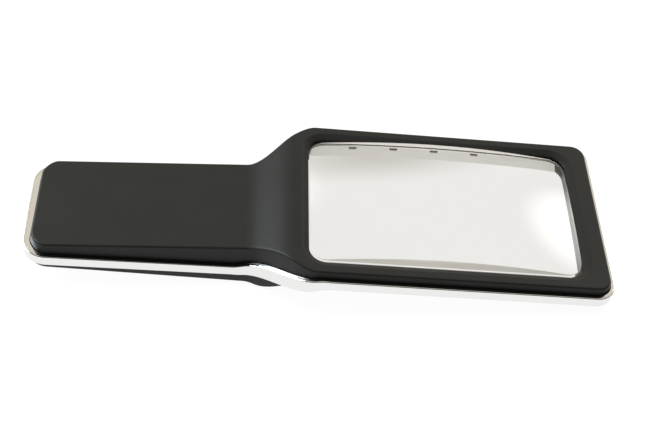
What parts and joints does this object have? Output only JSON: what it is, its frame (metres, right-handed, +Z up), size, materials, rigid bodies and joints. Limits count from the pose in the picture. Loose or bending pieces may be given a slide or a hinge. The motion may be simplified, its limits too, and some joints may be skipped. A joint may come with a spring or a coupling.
{
  "type": "magnifying glass",
  "caption": "Battery-lit rectangular hand magnifier with a domed lens, a cranked flat handle, a bright trim band, lights under the lens, a slide switch and a sliding battery cover.",
  "frame": {"origin": "bottom centre of the bounding box, on the table that it lies on, touching with the front of the handle's underside and with the tip of the head", "axes": "+X from the handle's butt to the head's tip, +Y to the side with the switch, +Z up from the table; the handle and the head slope down 6.3 degrees towards +X"},
  "size_m": [0.2616, 0.0928, 0.0295],
  "materials": {
    "black_plastic": "fine matt texture",
    "chrome": "bright plating",
    "lens_acrylic": "clear polished acrylic",
    "white_plastic": "satin",
    "board_green": "solder resist",
    "spring_steel": "nickel plated",
    "cell_jacket": "printed film",
    "diode": "phosphor gel in a white case",
    "grey_rubber": "soft matt",
    "red_wire": "insulation",
    "black_wire": "insulation"
  },
  "bodies": {
    "housing": {"top_shell": "black_plastic", "bottom_shell": "black_plastic", "battery_tray": "black_plastic", "chrome_band": "chrome", "lens": "lens_acrylic", "lens_gasket": "grey_rubber", "main_board": "board_green", "switch_body": "spring_steel", "battery_wire_red": "red_wire", "battery_wire_black": "black_wire", "cell_1": "cell_jacket", "cell_2": "cell_jacket", "cell_3": "cell_jacket", "contact_plate_1": "spring_steel", "contact_plate_2": "spring_steel", "contact_plate_3": "spring_steel", "contact_spring_1": "spring_steel", "contact_spring_2": "spring_steel", "contact_spring_3": "spring_steel", "screw_neck_near": "spring_steel", "screw_neck_far": "spring_steel", "screw_tip_near": "spring_steel", "screw_tip_far": "spring_steel", "light_board_near": "board_green", "light_board_far": "board_green", "light_bar_near": "white_plastic", "light_bar_far": "white_plastic", "diode_near_1": "diode", "diode_near_2": "diode", "diode_near_3": "diode", "diode_near_4": "diode", "diode_far_1": "diode", "diode_far_2": "diode", "diode_far_3": "diode", "diode_far_4": "diode", "light_wire_near": "black_wire", "light_wire_far": "black_wire"},
    "door": {"battery_door": "black_plastic"},
    "switch": {"switch_slider": "black_plastic"}
  },
  "joints": [
    {"name": "door_slide", "type": "slide", "parent": "housing", "child": "door", "axis": [-0.9939, 0, 0.1106], "range_m": [0, 0.064]},
    {"name": "switch_slide", "type": "slide", "parent": "housing", "child": "switch", "axis": [0.9939, 0, -0.1106], "range_m": [0, 0.004]}
  ]
}
